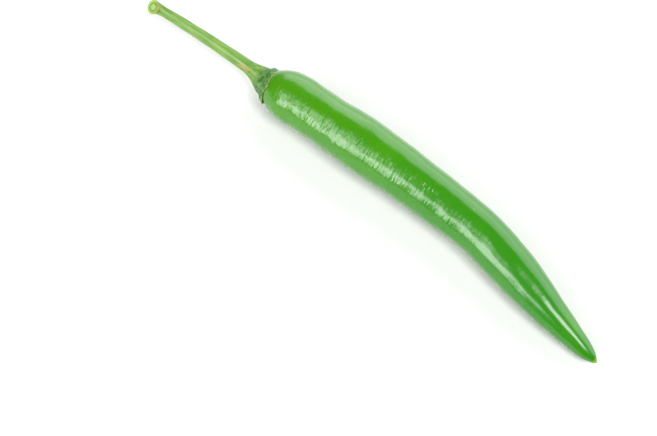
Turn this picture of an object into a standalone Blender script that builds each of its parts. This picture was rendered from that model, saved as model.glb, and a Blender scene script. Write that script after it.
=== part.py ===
"""A long green chilli pepper, as picked, lying on its side on a flat surface.

The chilli lies along X with its stalk towards -X and its tip towards +X, and its pod
bends in the horizontal plane. The origin is at the bottom centre of its bounding box.
It is made of three grown pieces: the pod, the calyx that caps it, and the stalk.

Lengths along the chilli are measured on its centre line from the calyx rim: places on
the pod are positive and places on the stalk are negative. Sizes here are millimetres.
"""

import math

import bmesh
import bpy
from mathutils import Matrix, Vector

MM = 0.001

# ---- Driving dimensions, in millimetres and degrees ---------------------------------

POD_LENGTH = 137.0  # calyx rim to tip
# Girths of the pod: share of its length, diameter there without the rounded ends.
POD_GIRTHS = (
    (0.00, 16.5),
    (0.13, 16.7),
    (0.26, 17.6),
    (0.40, 17.1),
    (0.53, 15.7),
    (0.69, 14.8),
    (0.78, 13.1),
    (0.89, 9.2),
    (1.00, 4.4),
)
# Sideways bends of the pod: share of its length where each starts and ends, and its angle.
POD_BENDS = (
    (0.46, 0.73, -14.0),
    (0.83, 0.88, 3.7),
)
SHOULDER_SWING = 8.0  # the shoulder's sideways swing from the pod's straight half, in degrees
SWING_LENGTH = 5.0  # the stretch over which the shoulder swings back to straight
SHOULDER_LENGTH = 9.0  # rounded stretch below the rim
CROWN_HEIGHT = 3.0  # pod top above the rim, inside the calyx
TIP_ROUNDING = 7.5  # rounded stretch at the tip
TIP_LIFT = 0.9  # how far the tip clears the surface
TIP_LIFT_START = 0.72  # share of the pod's length where the lift starts
REST_CUT = 0.2  # depth of the flat that the pod rests on

CALYX_HEIGHT = 9.5  # rim to the top face that carries the stalk
CALYX_THICKNESS = 0.4  # wall at the rim
CALYX_FLARE = 1.45  # how late the cone opens: 1 is straight, more is more like a trumpet
CALYX_LOBES = 5
TOOTH_LENGTH = 0.6  # how far each lobe's tooth reaches past the rim
TOOTH_ZONE = 2.2  # the height over which the rim is drawn out into teeth
LOBE_RIB = 0.035  # rib height as a share of the calyx radius

STALK_LENGTH = 45.8  # calyx rim to the middle of the hooked end, on the centre line
STALK_ROOT_DIAMETER = 4.6
STALK_NECK_DIAMETER = 3.5
STALK_KNOB_DIAMETER = 4.5
STALK_TAPER = 0.8  # under 1, the stalk thins most near the calyx
STALK_RIDGE = 0.05  # ridge height as a share of the stalk radius
STALK_RIDGES = 5
STALK_BEND = 5.0  # sideways bend of the stalk, in degrees
SEAT_TILT = 2.0  # the calyx axis against the pod's straight half, in degrees
SEAT_STRAIGHT = 1.0  # straight stretch of the centre line past the rim, which clears the teeth
NECK_BEND_LENGTH = 4.0  # the stretch over which the stalk bends into the calyx axis
STALK_RISE = 0.7  # how far the far end stands above the pod's axis
HOOK_RADIUS = 2.5  # centre line of the hooked end
HOOK_ANGLE = 80.0
HOOK_ROLL = 38.0  # the hook's lean from straight up towards -Y

CLEARANCE = 0.3  # gap between neighbouring pieces
LIE_ANGLE = 4.0  # direction of the pod's straight half against X

# ---- How finely the round shapes are divided ------------------------------------------

POD_SIDES = 24
CALYX_SIDES = 30
STALK_SIDES = 20
RING_SPACING = 2.6  # along the pod and the stalk
SHOULDER_RINGS = 10
TIP_RINGS = 6
CALYX_RINGS = 8
HOLLOW_RINGS = 6  # on the calyx's underside
HOOK_RINGS = 6
END_CAP_ANGLE = 4.0  # leaves a small flat cap on each rounded end, in degrees
SPINE_STEP = 0.5
SHARP_ANGLE = 40.0  # edges sharper than this stay crisp, in degrees
WELD_DISTANCE = 1e-6  # metres
FIT_TOLERANCE = 0.01  # how near a point is to a surface that it belongs to


# ---- Laws of shape --------------------------------------------------------------------


def smooth_step(start, end, at):
    """0 before start, 1 after end, and an S-curve between them."""
    t = min(max((at - start) / (end - start), 0.0), 1.0)
    return t * t * (3.0 - 2.0 * t)


def smooth_curve(stations, at):
    """The value at a place on a smooth curve through (place, value) stations."""
    places = [place for place, _ in stations]
    values = [value for _, value in stations]
    at = min(max(at, places[0]), places[-1])
    last = len(stations) - 1
    i = min(max(k for k in range(last) if places[k] <= at), last - 1)

    def slope(k):
        if k in (0, last):
            return 0.0 if k == 0 else (values[k] - values[k - 1]) / (places[k] - places[k - 1])
        return (values[k + 1] - values[k - 1]) / (places[k + 1] - places[k - 1])

    width = places[i + 1] - places[i]
    t = (at - places[i]) / width
    rise = values[i + 1] - values[i]
    a = slope(i) * width - rise
    b = rise - slope(i + 1) * width
    return values[i] + rise * t + t * (1.0 - t) * (a * (1.0 - t) + b * t)


def body_radius(at):
    """The pod's radius at a place, before its two ends are rounded."""
    return smooth_curve(POD_GIRTHS, at / POD_LENGTH) / 2


def pod_radius(at):
    """The pod's radius at a place, with its rounded shoulder and tip."""
    radius = body_radius(at)
    if at < SHOULDER_LENGTH:
        share = (SHOULDER_LENGTH - at) / (SHOULDER_LENGTH + CROWN_HEIGHT)
        radius *= math.sqrt(max(1.0 - share**2, 0.0))
    if at > POD_LENGTH - TIP_ROUNDING:
        share = (at - POD_LENGTH + TIP_ROUNDING) / TIP_ROUNDING
        radius *= math.sqrt(max(1.0 - share**2, 0.0))
    return radius


def calyx_radius(height):
    """The calyx's outer radius at a height above its rim."""
    rim = pod_radius(0.0) + CLEARANCE + CALYX_THICKNESS
    top = STALK_ROOT_DIAMETER / 2
    return top + (rim - top) * (1.0 - height / CALYX_HEIGHT) ** CALYX_FLARE


def stalk_share(at):
    """How far along the stalk a place is: 0 at the calyx, 1 at the start of the hook."""
    return min(max((-at - CALYX_HEIGHT) / (STALK_LENGTH - CALYX_HEIGHT), 0.0), 1.0)


def heading(at):
    """The centre line's direction at a place, as an angle from +X in radians."""
    neck = -CALYX_HEIGHT - CLEARANCE
    angle = LIE_ANGLE + STALK_BEND * stalk_share(at)
    angle -= SEAT_TILT * smooth_step(neck - NECK_BEND_LENGTH, neck, at)
    angle += (SEAT_TILT + SHOULDER_SWING) * smooth_step(SEAT_STRAIGHT, SHOULDER_LENGTH, at)
    angle -= SHOULDER_SWING * smooth_step(SHOULDER_LENGTH, SHOULDER_LENGTH + SWING_LENGTH, at)
    for start, end, bend in POD_BENDS:
        angle += bend * smooth_step(start * POD_LENGTH, end * POD_LENGTH, at)
    return math.radians(angle)


def spine_height(at):
    """The centre line's height, which lays the pod's underside along the surface."""
    height = body_radius(max(at, 0.0)) - REST_CUT
    height += TIP_LIFT * smooth_step(TIP_LIFT_START * POD_LENGTH, POD_LENGTH, at)
    return height + STALK_RISE * stalk_share(at) ** 2


def spine_point(at):
    """The centre line's point at a place, reached from the rim in short steps."""
    steps = max(1, math.ceil(abs(at) / SPINE_STEP))
    stride = at / steps
    x = y = 0.0
    for i in range(steps):
        turn = heading((i + 0.5) * stride)
        x += stride * math.cos(turn)
        y += stride * math.sin(turn)
    return Vector((x, y, spine_height(at)))


# ---- Helpers --------------------------------------------------------------------------


def new_collection(name):
    collection = bpy.data.collections.new(name)
    bpy.context.scene.collection.children.link(collection)
    return collection


def new_material(name, colour, roughness):
    """A Principled material, whose colour is given in linear values."""
    material = bpy.data.materials.new(name)
    material.use_nodes = True
    shader = material.node_tree.nodes["Principled BSDF"]
    shader.inputs["Base Color"].default_value = (*colour, 1.0)
    shader.inputs["Roughness"].default_value = roughness
    shader.inputs["Metallic"].default_value = 0.0
    return material


def poly_curve(name, points, radii=None, closed=False):
    """A curve of straight runs through points in millimetres, with a radius at each."""
    curve = bpy.data.curves.new(name, "CURVE")
    curve.dimensions = "3D"
    curve.twist_mode = "Z_UP"
    spline = curve.splines.new("POLY")
    spline.points.add(len(points) - 1)
    spline.use_cyclic_u = closed
    for knot, point in zip(spline.points, points):
        knot.co = (*(point * MM), 1.0)
    for knot, radius in zip(spline.points, radii or []):
        knot.radius = radius
    return curve


def made_mesh(obj, name, collection, material):
    """A mesh object of what a curve or a modifier stack shows, welded; obj is removed."""
    bpy.context.view_layer.update()
    evaluated = obj.evaluated_get(bpy.context.evaluated_depsgraph_get())
    mesh = bpy.data.meshes.new_from_object(evaluated)
    solid = bpy.data.objects.new(name, mesh)
    solid.matrix_world = obj.matrix_world
    bpy.data.objects.remove(obj)
    bm = bmesh.new()
    bm.from_mesh(mesh)
    bmesh.ops.remove_doubles(bm, verts=bm.verts, dist=WELD_DISTANCE)
    bm.to_mesh(mesh)
    bm.free()
    mesh.materials.clear()
    mesh.materials.append(material)
    collection.objects.link(solid)
    return solid


def shade_round(obj):
    obj.data.shade_smooth()
    obj.data.set_sharp_from_angle(angle=math.radians(SHARP_ANGLE))


# ---- The three pieces -----------------------------------------------------------------


def pod_places():
    """Places of the pod's rings: close together on the rounded ends."""
    cap = math.radians(END_CAP_ANGLE)
    quarter = math.pi / 2 - cap
    shoulder = SHOULDER_LENGTH + CROWN_HEIGHT
    straight = POD_LENGTH - TIP_ROUNDING - SHOULDER_LENGTH
    rings = round(straight / RING_SPACING)
    places = []
    for i in range(SHOULDER_RINGS):
        places.append(SHOULDER_LENGTH - shoulder * math.cos(cap + quarter * i / SHOULDER_RINGS))
    for i in range(rings):
        places.append(SHOULDER_LENGTH + straight * i / rings)
    for i in range(TIP_RINGS):
        places.append(POD_LENGTH - TIP_ROUNDING * (1 - math.sin(quarter * i / (TIP_RINGS - 1))))
    return places


def make_pod(collection, cutters, material):
    """The fruit: a tapering round tube on the centre line, cut flat where it rests."""
    places = pod_places()
    curve = poly_curve("pod_curve", [spine_point(s) for s in places], [pod_radius(s) for s in places])
    curve.bevel_depth = MM
    curve.bevel_resolution = (POD_SIDES - 4) // 2
    curve.use_fill_caps = True
    tube = bpy.data.objects.new("pod_curve", curve)
    collection.objects.link(tube)
    pod = made_mesh(tube, "pod", collection, material)

    cut = pod.modifiers.new("rest_flat", "BOOLEAN")
    cut.operation = "DIFFERENCE"
    cut.object = resting_surface(cutters)
    shade_round(pod)
    return pod


def resting_surface(cutters):
    """A slab whose top is the surface that the chilli lies on, as a cutter for the pod."""
    reach = 4 * POD_LENGTH * MM
    bpy.ops.mesh.primitive_cube_add(size=reach)
    slab = bpy.context.object
    slab.name = "resting_surface"
    slab.data.transform(Matrix.Translation((0.0, 0.0, -reach / 2)))
    slab.hide_render = True
    slab.display_type = "WIRE"
    for home in list(slab.users_collection):
        home.objects.unlink(slab)
    cutters.objects.link(slab)
    return slab


def calyx_profile():
    """The calyx's half section: (radius, height) from its top centre round to its hollow."""
    profile = [(0.0, CALYX_HEIGHT)]
    for i in range(CALYX_RINGS + 1):
        height = CALYX_HEIGHT * (1 - i / CALYX_RINGS)
        profile.append((calyx_radius(height), height))
    shoulder = SHOULDER_LENGTH + CROWN_HEIGHT
    rim_angle = math.acos(SHOULDER_LENGTH / shoulder)
    for i in range(HOLLOW_RINGS + 1):
        angle = rim_angle * (1 - i / HOLLOW_RINGS)
        place = SHOULDER_LENGTH - shoulder * math.cos(angle)
        lean = Vector((math.sin(angle) / body_radius(0.0), math.cos(angle) / shoulder)).normalized()
        profile.append((pod_radius(place) + CLEARANCE * lean.x, -place + CLEARANCE * lean.y))
    profile[-1] = (0.0, profile[-1][1])
    return profile


def draw_out_lobes(mesh):
    """Turns the plain cone into five lobes: a rib up each, and a tooth on the rim."""
    for vertex in mesh.vertices:
        radius = math.hypot(vertex.co.x, vertex.co.y) / MM
        height = vertex.co.z / MM
        if radius < CLEARANCE:
            continue
        lobe = math.cos(CALYX_LOBES * math.atan2(vertex.co.y, vertex.co.x))
        moved = radius
        below_top = min(max(height, 0.0), CALYX_HEIGHT)
        if abs(radius - calyx_radius(below_top)) < FIT_TOLERANCE:
            moved *= 1.0 + LOBE_RIB * lobe * (1.0 - below_top / CALYX_HEIGHT)
        pull = TOOTH_LENGTH * max(lobe, 0.0) ** 2 * min(max(1.0 - height / TOOTH_ZONE, 0.0), 1.0)
        moved += pod_radius(pull - height) - pod_radius(-height)
        vertex.co.x *= moved / radius
        vertex.co.y *= moved / radius
        vertex.co.z -= pull * MM


def make_calyx(collection, material):
    """The green cap that grips the pod's shoulder: a turned cone drawn out into lobes."""
    profile = bpy.data.meshes.new("calyx_profile")
    points = [(radius * MM, 0.0, height * MM) for radius, height in calyx_profile()]
    profile.from_pydata(points, [(i, i + 1) for i in range(len(points) - 1)], [])
    turned = bpy.data.objects.new("calyx_profile", profile)
    collection.objects.link(turned)
    screw = turned.modifiers.new("turn", "SCREW")
    screw.steps = screw.render_steps = CALYX_SIDES
    screw.use_merge_vertices = True
    screw.merge_threshold = 10 * WELD_DISTANCE
    calyx = made_mesh(turned, "calyx", collection, material)
    draw_out_lobes(calyx.data)
    rim = spine_point(0.0) * MM
    calyx.matrix_world = Matrix.Translation(rim) @ cap_turn()
    shade_round(calyx)
    return calyx


def cap_turn():
    """Turns +Z to point back along the centre line, from the pod to the stalk."""
    back = Vector((-math.cos(heading(0.0)), -math.sin(heading(0.0)), 0.0))
    return back.to_track_quat("Z", "Y").to_matrix().to_4x4()


def stalk_path():
    """The stalk's centre points and radii, from the calyx out to its hooked, cut end."""
    start = CALYX_HEIGHT + CLEARANCE
    straight = STALK_LENGTH - start
    rings = round(straight / RING_SPACING)
    thinning = STALK_ROOT_DIAMETER - STALK_NECK_DIAMETER
    points, radii = [], []
    for i in range(rings + 1):
        points.append(spine_point(-start - straight * i / rings))
        radii.append((STALK_ROOT_DIAMETER - thinning * (i / rings) ** STALK_TAPER) / 2)

    away = (points[-1] - points[-2]).normalized()
    roll = math.radians(HOOK_ROLL)
    lean = Vector((0.0, -math.sin(roll), math.cos(roll)))
    lean = (lean - away * lean.dot(away)).normalized()
    hook_start = points[-1]
    swelling = STALK_KNOB_DIAMETER - STALK_NECK_DIAMETER
    for i in range(1, HOOK_RINGS + 1):
        angle = math.radians(HOOK_ANGLE) * i / HOOK_RINGS
        turn = away * math.sin(angle) + lean * (1 - math.cos(angle))
        points.append(hook_start + HOOK_RADIUS * turn)
        radii.append((STALK_NECK_DIAMETER + swelling * smooth_step(0, HOOK_RINGS, i)) / 2)
    return points, radii


def make_stalk(collection, guides, material):
    """The stalk: a ridged round rod that thins away from the calyx to a hooked end."""
    outline = []
    for i in range(STALK_SIDES):
        angle = -2 * math.pi * i / STALK_SIDES  # clockwise, so that the walls face outwards
        ridge = 1.0 + STALK_RIDGE * math.cos(STALK_RIDGES * angle)
        outline.append(Vector((ridge * math.cos(angle), ridge * math.sin(angle), 0.0)))
    section_curve = poly_curve("stalk_section", outline, closed=True)
    section_curve.dimensions = "2D"
    section = bpy.data.objects.new("stalk_section", section_curve)
    section.hide_render = True
    section.display_type = "WIRE"
    guides.objects.link(section)

    points, radii = stalk_path()
    curve = poly_curve("stalk_curve", points, radii)
    curve.twist_mode = "MINIMUM"
    curve.bevel_mode = "OBJECT"
    curve.bevel_object = section
    curve.use_fill_caps = True
    rod = bpy.data.objects.new("stalk_curve", curve)
    collection.objects.link(rod)
    stalk = made_mesh(rod, "stem", collection, material)
    shade_round(stalk)
    return stalk


def centre_on_origin(pieces, anchor):
    """Moves the anchor so that the pieces' bounding box stands centred on the origin."""
    bpy.context.view_layer.update()
    depsgraph = bpy.context.evaluated_depsgraph_get()
    corners = []
    for piece in pieces:
        mesh = piece.evaluated_get(depsgraph).to_mesh()
        corners += [piece.matrix_world @ vertex.co for vertex in mesh.vertices]
    for axis in (0, 1):
        low = min(corner[axis] for corner in corners)
        high = max(corner[axis] for corner in corners)
        anchor.location[axis] = -(low + high) / 2


def main():
    for obj in list(bpy.data.objects):
        bpy.data.objects.remove(obj, do_unlink=True)
    parts = new_collection("chilli_pepper")
    cutters = new_collection("cutters_and_guides")

    pod_skin = new_material("pod_skin", (0.045, 0.35, 0.008), 0.28)
    calyx_skin = new_material("calyx_skin", (0.075, 0.22, 0.045), 0.55)
    stalk_skin = new_material("stalk_skin", (0.23, 0.45, 0.09), 0.5)

    pieces = [
        make_pod(parts, cutters, pod_skin),
        make_calyx(parts, calyx_skin),
        make_stalk(parts, cutters, stalk_skin),
    ]
    anchor = bpy.data.objects.new("chilli", None)
    parts.objects.link(anchor)
    for piece in pieces:
        piece.parent = anchor
    bpy.data.objects["resting_surface"].parent = anchor
    centre_on_origin(pieces, anchor)


main()
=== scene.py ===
# %% [markdown]
# # A green chilli pepper, as picked
#
# The chilli lies on its side with its stalk towards -X and its tip towards +X. It grew as
# one fruit, and three things about it can be told apart on a bench: the pod with its waxy
# skin, the calyx that caps the pod, and the stalk that it hung from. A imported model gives
# their sizes and places, and this script grows a finely sculpted piece over each of them.
#
# Lengths are metres, as in Blender, and MM turns a millimetre into them.

# %% Load the frame
import math

import bmesh
import bpy
import numpy as np
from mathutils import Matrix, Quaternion, Vector, geometry, noise
from mathutils.bvhtree import BVHTree


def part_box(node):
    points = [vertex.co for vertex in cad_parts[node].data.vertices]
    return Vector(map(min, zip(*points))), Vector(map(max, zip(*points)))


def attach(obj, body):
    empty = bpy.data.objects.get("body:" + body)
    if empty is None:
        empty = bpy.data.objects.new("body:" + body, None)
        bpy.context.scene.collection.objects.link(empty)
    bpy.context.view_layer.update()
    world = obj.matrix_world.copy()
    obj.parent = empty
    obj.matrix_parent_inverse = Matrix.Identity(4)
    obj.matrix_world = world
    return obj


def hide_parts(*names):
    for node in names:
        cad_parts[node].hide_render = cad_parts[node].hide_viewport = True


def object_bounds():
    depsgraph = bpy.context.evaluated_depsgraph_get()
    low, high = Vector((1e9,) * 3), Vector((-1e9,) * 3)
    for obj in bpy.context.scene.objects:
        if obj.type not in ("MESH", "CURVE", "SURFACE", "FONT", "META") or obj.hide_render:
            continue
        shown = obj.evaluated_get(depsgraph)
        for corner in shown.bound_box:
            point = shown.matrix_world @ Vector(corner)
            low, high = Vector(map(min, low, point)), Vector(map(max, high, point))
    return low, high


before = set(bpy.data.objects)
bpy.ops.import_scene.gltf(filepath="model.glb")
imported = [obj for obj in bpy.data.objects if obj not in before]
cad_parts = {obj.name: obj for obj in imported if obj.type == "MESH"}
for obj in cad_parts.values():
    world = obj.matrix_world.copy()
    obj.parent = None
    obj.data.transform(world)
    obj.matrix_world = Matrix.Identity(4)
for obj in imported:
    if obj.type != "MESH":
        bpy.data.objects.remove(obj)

MM = 0.001
X = Vector((1.0, 0.0, 0.0))

cad_low, cad_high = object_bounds()
print("the chilli measures", [round(side / MM, 1) for side in cad_high - cad_low], "mm")


# %% [markdown]
# ## Taking the measurements
#
# A bent fruit has no straight axis to measure from. It could be cut into slices, but it is
# simpler to feel it from outside, as callipers do: at one place on the centre line, rays
# run inwards from all round, and where they touch gives the middle and the radius there.
# From that middle, a short step ahead leads to the next place, and so the walk follows
# every bend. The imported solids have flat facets, which make the touches jitter a little,
# so each station is averaged with its neighbours.

# %% Touching a solid from outside
TOUCHES = 36
ROUND_CORNERS = 18  # a flat face with at least so many corners is a round one
ONE_FLAT = math.radians(0.2)  # triangles that turn less than this are parts of one flat


def touchable(node):
    """A search tree that rays can be cast at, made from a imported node."""
    mesh = bmesh.new()
    mesh.from_mesh(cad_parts[node].data)
    tree = BVHTree.FromBMesh(mesh)
    mesh.free()
    return tree


def feel_round(tree, middle, heading, reach):
    """The middle and radius of a solid at one place, or None past its end."""
    side = heading.orthogonal().normalized()
    for _ in range(3):
        touches = []
        for i in range(TOUCHES):
            out = Quaternion(heading, math.tau * i / TOUCHES) @ side
            touch = tree.ray_cast(middle + out * reach, -out, reach)[0]
            if touch is None:
                return None
            touches.append(touch - middle)
        # The mean of the touches lies half way to the true middle.
        middle = middle + sum(touches, Vector()) * 2 / TOUCHES
    return middle, sum(touch.length for touch in touches) / TOUCHES


def calmed(stations, passes=2):
    """Stations with the jitter of the touches averaged out, except at the two ends."""
    for _ in range(passes):
        inner = [
            ((before[0] + here[0] * 2 + after[0]) / 4, (before[1] + here[1] * 2 + after[1]) / 4)
            for before, here, after in zip(stations, stations[1:], stations[2:])
        ]
        stations = stations[:1] + inner + stations[-1:]
    return stations


def walk_along(node, start, heading, step, reach):
    """Measures a node from a place inside it to its far end, as (middle, radius) stations."""
    tree = touchable(node)
    stations = []
    found = feel_round(tree, start, heading, reach)
    while found:
        if stations:
            ahead = (found[0] - stations[-1][0]).normalized()
            heading = (heading + ahead).normalized()
        stations.append(found)
        found = feel_round(tree, found[0] + heading * step, heading, reach)
    return calmed(stations)


def round_faces(node):
    """A node's flat round faces, as (area, middle, facing)."""
    mesh = bmesh.new()
    mesh.from_mesh(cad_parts[node].data)
    bmesh.ops.remove_doubles(mesh, verts=mesh.verts[:], dist=0.0001 * MM)
    # Dissolving turns each flat's triangles back into the one face that they came from.
    bmesh.ops.dissolve_limit(
        mesh, angle_limit=ONE_FLAT, verts=mesh.verts[:], edges=mesh.edges[:]
    )
    many_cornered = [face for face in mesh.faces if len(face.verts) >= ROUND_CORNERS]
    found = [(f.calc_area(), f.calc_center_median(), f.normal.copy()) for f in many_cornered]
    mesh.free()
    return found


# %% Measuring the pod, the calyx and the stalk
ALONG_X = 0.9  # a face is square to X when its facing has at least this much of it

pod_low, pod_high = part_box("pod")
calyx_top = next(face for face in round_faces("calyx") if face[2].x < -ALONG_X)
stalk_seat = next(face for face in round_faces("stem") if face[2].x > ALONG_X)
stalk_cut = next(face for face in round_faces("stem") if face[2].x < ALONG_X)

FIRST_STEP = 0.2 * MM  # from a flat face into the solid behind it
calyx_stations = walk_along(
    "calyx", calyx_top[1] + X * FIRST_STEP, X, step=0.7 * MM, reach=12 * MM
)
crown = calyx_stations[-1][0].copy()
crown.x = pod_low.x + 2 * FIRST_STEP
pod_stations = walk_along("pod", crown, X, step=1.2 * MM, reach=14 * MM)
stalk_stations = walk_along(
    "stem", stalk_seat[1] - X * FIRST_STEP, -X, step=0.9 * MM, reach=3.4 * MM
)
cut_radius = math.sqrt(stalk_cut[0] / math.pi)

print("pod: greatest radius", round(max(r for _, r in pod_stations) / MM, 2), "mm")
print("calyx:", len(calyx_stations), "stations, stalk:", len(stalk_stations), "stations")
print("cut end of the stalk: radius", round(cut_radius / MM, 2), "mm")


# %% [markdown]
# ## Centre lines
#
# The stations are turned into one smooth line for the pod and one for calyx and stalk
# together. A cubic B-spline is used, the curve behind Blender's NURBS, because its bends
# flow into each other and show no kinks in a glossy skin. Each line also carries a side
# and an up direction that turn as little as possible, so that a straight piece can be
# bent onto it without being twisted.

# %% Smooth lines that carry their own frame
SPLINE_STEPS = 12


def smooth_rows(stations):
    """A cubic B-spline along (middle, radius) stations, as rows of x, y, z and radius."""
    rows = [(*middle, radius) for middle, radius in stations]
    rows = np.array(rows[:1] * 2 + rows + rows[-1:] * 2)
    t = np.linspace(0.0, 1.0, SPLINE_STEPS, endpoint=False)[:, None]
    weights = (
        (1 - t) ** 3 / 6,
        (3 * t**3 - 6 * t**2 + 4) / 6,
        (-3 * t**3 + 3 * t**2 + 3 * t + 1) / 6,
        t**3 / 6,
    )
    spans = [
        sum(weight * row for weight, row in zip(weights, rows[i : i + 4]))
        for i in range(len(rows) - 3)
    ]
    return np.vstack(spans + [rows[-1:]])


def unit(rows):
    """Rows scaled to length 1."""
    return rows / np.linalg.norm(rows, axis=-1, keepdims=True)


def centre_line(stations, start=0.0):
    """Everything that is needed to bend a straight piece onto a row of stations."""
    rows = smooth_rows(stations)
    steps = np.linalg.norm(np.diff(rows[:, :3], axis=0), axis=1)
    kept = np.concatenate(([True], steps > 0.001 * MM))
    rows = rows[kept]
    steps = np.linalg.norm(np.diff(rows[:, :3], axis=0), axis=1)
    at = start + np.concatenate(([0.0], np.cumsum(steps)))
    heading = unit(np.gradient(rows[:, :3], at, axis=0))
    side = [unit(np.cross((0.0, 0.0, 1.0), heading[0]))]
    for ahead in heading[1:]:
        side.append(unit(side[-1] - ahead * np.dot(side[-1], ahead)))
    side = np.array(side)
    return {
        "at": at,
        "middle": rows[:, :3],
        "radius": rows[:, 3],
        "heading": heading,
        "side": side,
        "up": np.cross(heading, side),
    }


def radius_at(line, at):
    """The measured radius at a place on a line."""
    return float(np.interp(at, line["at"], line["radius"]))


def bend_onto(mesh, line):
    """Bends a piece that was modelled straight along X onto a centre line."""
    flat = np.array([v.co for v in mesh.verts])
    at = np.clip(flat[:, 0], line["at"][0], line["at"][-1])

    def read(name):
        return np.stack([np.interp(at, line["at"], row) for row in line[name].T], axis=1)

    past = flat[:, :1] - at[:, None]
    placed = read("middle") + read("heading") * past
    placed += read("side") * flat[:, 1:2] + read("up") * flat[:, 2:3]
    for v, place in zip(mesh.verts, placed):
        v.co = place


# %% The pod's line, from its crown to its tip
first_middle, last_middle = pod_stations[0][0], pod_stations[-1][0]
tip_heading = (last_middle - pod_stations[-3][0]).normalized()
crown_end = first_middle + X * (pod_low.x - first_middle.x)
tip_end = last_middle + tip_heading * ((pod_high.x - last_middle.x) / tip_heading.x)
pod_line = centre_line([(crown_end, 0.0)] + pod_stations + [(tip_end, 0.0)])
pod_length = pod_line["at"][-1]
print("pod line", round(pod_length / MM, 1), "mm long")

# %% The stalk's line, from the calyx rim to the cut end
# Places on it are counted from the rim. The stalk ends in a short hook: from where the
# walk comes near the cut face, a curve turns it so that it meets the face squarely.
calyx_low, calyx_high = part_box("calyx")
PACKED_TOOTH = 0.6 * MM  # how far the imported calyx's teeth reach past its rim
HOOK_REACH = 3.4 * MM  # from the cut face back to where the curve takes over
HOOK_HANDLE = 0.36  # handle length as a share of the hook's reach
HOOK_POINTS = 7

rim_middle = calyx_stations[-1][0].copy()
rim_middle.x = calyx_high.x - PACKED_TOOTH
straight_part = [s for s in stalk_stations if (s[0] - stalk_cut[1]).length > HOOK_REACH]
hook_start, hook_radius = straight_part[-1]
hook_heading = (hook_start - straight_part[-3][0]).normalized()
reach = (stalk_cut[1] - hook_start).length
bend_points = geometry.interpolate_bezier(
    hook_start,
    hook_start + hook_heading * reach * HOOK_HANDLE,
    stalk_cut[1] - stalk_cut[2] * reach * HOOK_HANDLE,
    stalk_cut[1],
    HOOK_POINTS,
)
hook_stations = []
for i, point in enumerate(bend_points[1:], start=1):
    share = i / (HOOK_POINTS - 1)
    swell = share * share * (3 - 2 * share)
    hook_stations.append((point, hook_radius + (cut_radius - hook_radius) * swell))

upper_calyx = [(middle, radius) for middle, radius in reversed(calyx_stations)]
rim_radius = (calyx_high.z - calyx_low.z) / 2
stalk_line = centre_line(
    [(rim_middle, rim_radius)] + upper_calyx + straight_part + hook_stations
)
stalk_length = stalk_line["at"][-1]
seam_at = (rim_middle - calyx_top[1]).length
print("stalk line", round(stalk_length / MM, 1), "mm, seam at", round(seam_at / MM, 1), "mm")


# %% [markdown]
# ## Turning a piece
#
# All three pieces start as turned shapes. A Screw modifier would do, but a bmesh gives the
# same in two calls: an edge is subdivided, its points are moved onto the profile, and a
# spin carries them round the X axis. The piece is modelled straight, sculpted, and bent
# onto its centre line at the very end, so every sculpting rule can be written in terms of
# a place along the piece and an angle round it.

# %% Turned shapes, sculpted and bent
def turned(profile, cuts, sides):
    """A closed round shape along X. The profile gives (place, radius) for 0 to 1."""
    mesh = bmesh.new()
    ends = [mesh.verts.new((0.0, 0.0, 0.0)), mesh.verts.new((1.0, 0.0, 0.0))]
    edge = mesh.edges.new(ends)
    bmesh.ops.subdivide_edges(mesh, edges=[edge], cuts=cuts)
    for v in mesh.verts:
        place, radius = profile(v.co.x)
        v.co = (place, radius, 0.0)
    bmesh.ops.spin(
        mesh,
        geom=mesh.verts[:] + mesh.edges[:],
        cent=(0.0, 0.0, 0.0),
        axis=X,
        angle=math.tau,
        steps=sides,
        use_merge=True,
    )
    bmesh.ops.remove_doubles(mesh, verts=mesh.verts[:], dist=0.0005 * MM)
    bmesh.ops.recalc_face_normals(mesh, faces=mesh.faces[:])
    return mesh


def around(v):
    """A vertex's angle round the X axis: 0 at +Y, a quarter turn at the top."""
    return math.atan2(v.co.z, v.co.y)


def remember_growth(mesh):
    """Keeps each vertex's place before bending, in millimetres, for the materials."""
    grown = mesh.verts.layers.float_vector.new("grown")
    for v in mesh.verts:
        v[grown] = v.co / MM


def smooth_step(start, end, at):
    """0 before start, 1 after end, and an S-curve between them."""
    t = min(max((at - start) / (end - start), 0.0), 1.0)
    return t * t * (3.0 - 2.0 * t)


def finished(mesh, name, material, crease_angle):
    """Turns a bmesh into a smooth-shaded piece with its material."""
    data = bpy.data.meshes.new(name)
    mesh.normal_update()
    mesh.to_mesh(data)
    mesh.free()
    data.shade_smooth()
    data.set_sharp_from_angle(angle=math.radians(crease_angle))
    data.materials.append(material)
    piece = bpy.data.objects.new(name, data)
    bpy.context.scene.collection.objects.link(piece)
    triangles = sum(len(face.vertices) - 2 for face in data.polygons)
    print(f"{name}: {triangles} triangles")
    return piece


# %% [markdown]
# ## Node helpers
#
# Every material is a Principled BSDF with procedural nodes. They could be wired by hand in
# the Shader Editor, but a script wires them the same way each time. One helper adds a node
# with its settings and links. The others do what a painter does: lay colours over each
# other, break a colour up into patches, and show it only where several masks agree.

# %% One way to add a node, one way to write a colour
def linear(colour):
    """An sRGB hex colour as linear red, green, blue and alpha."""
    channels = [int(colour[i : i + 2], 16) / 255 for i in (1, 3, 5)]
    channels = [c / 12.92 if c <= 0.04045 else ((c + 0.055) / 1.055) ** 2.4 for c in channels]
    return (*channels, 1.0)


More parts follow.
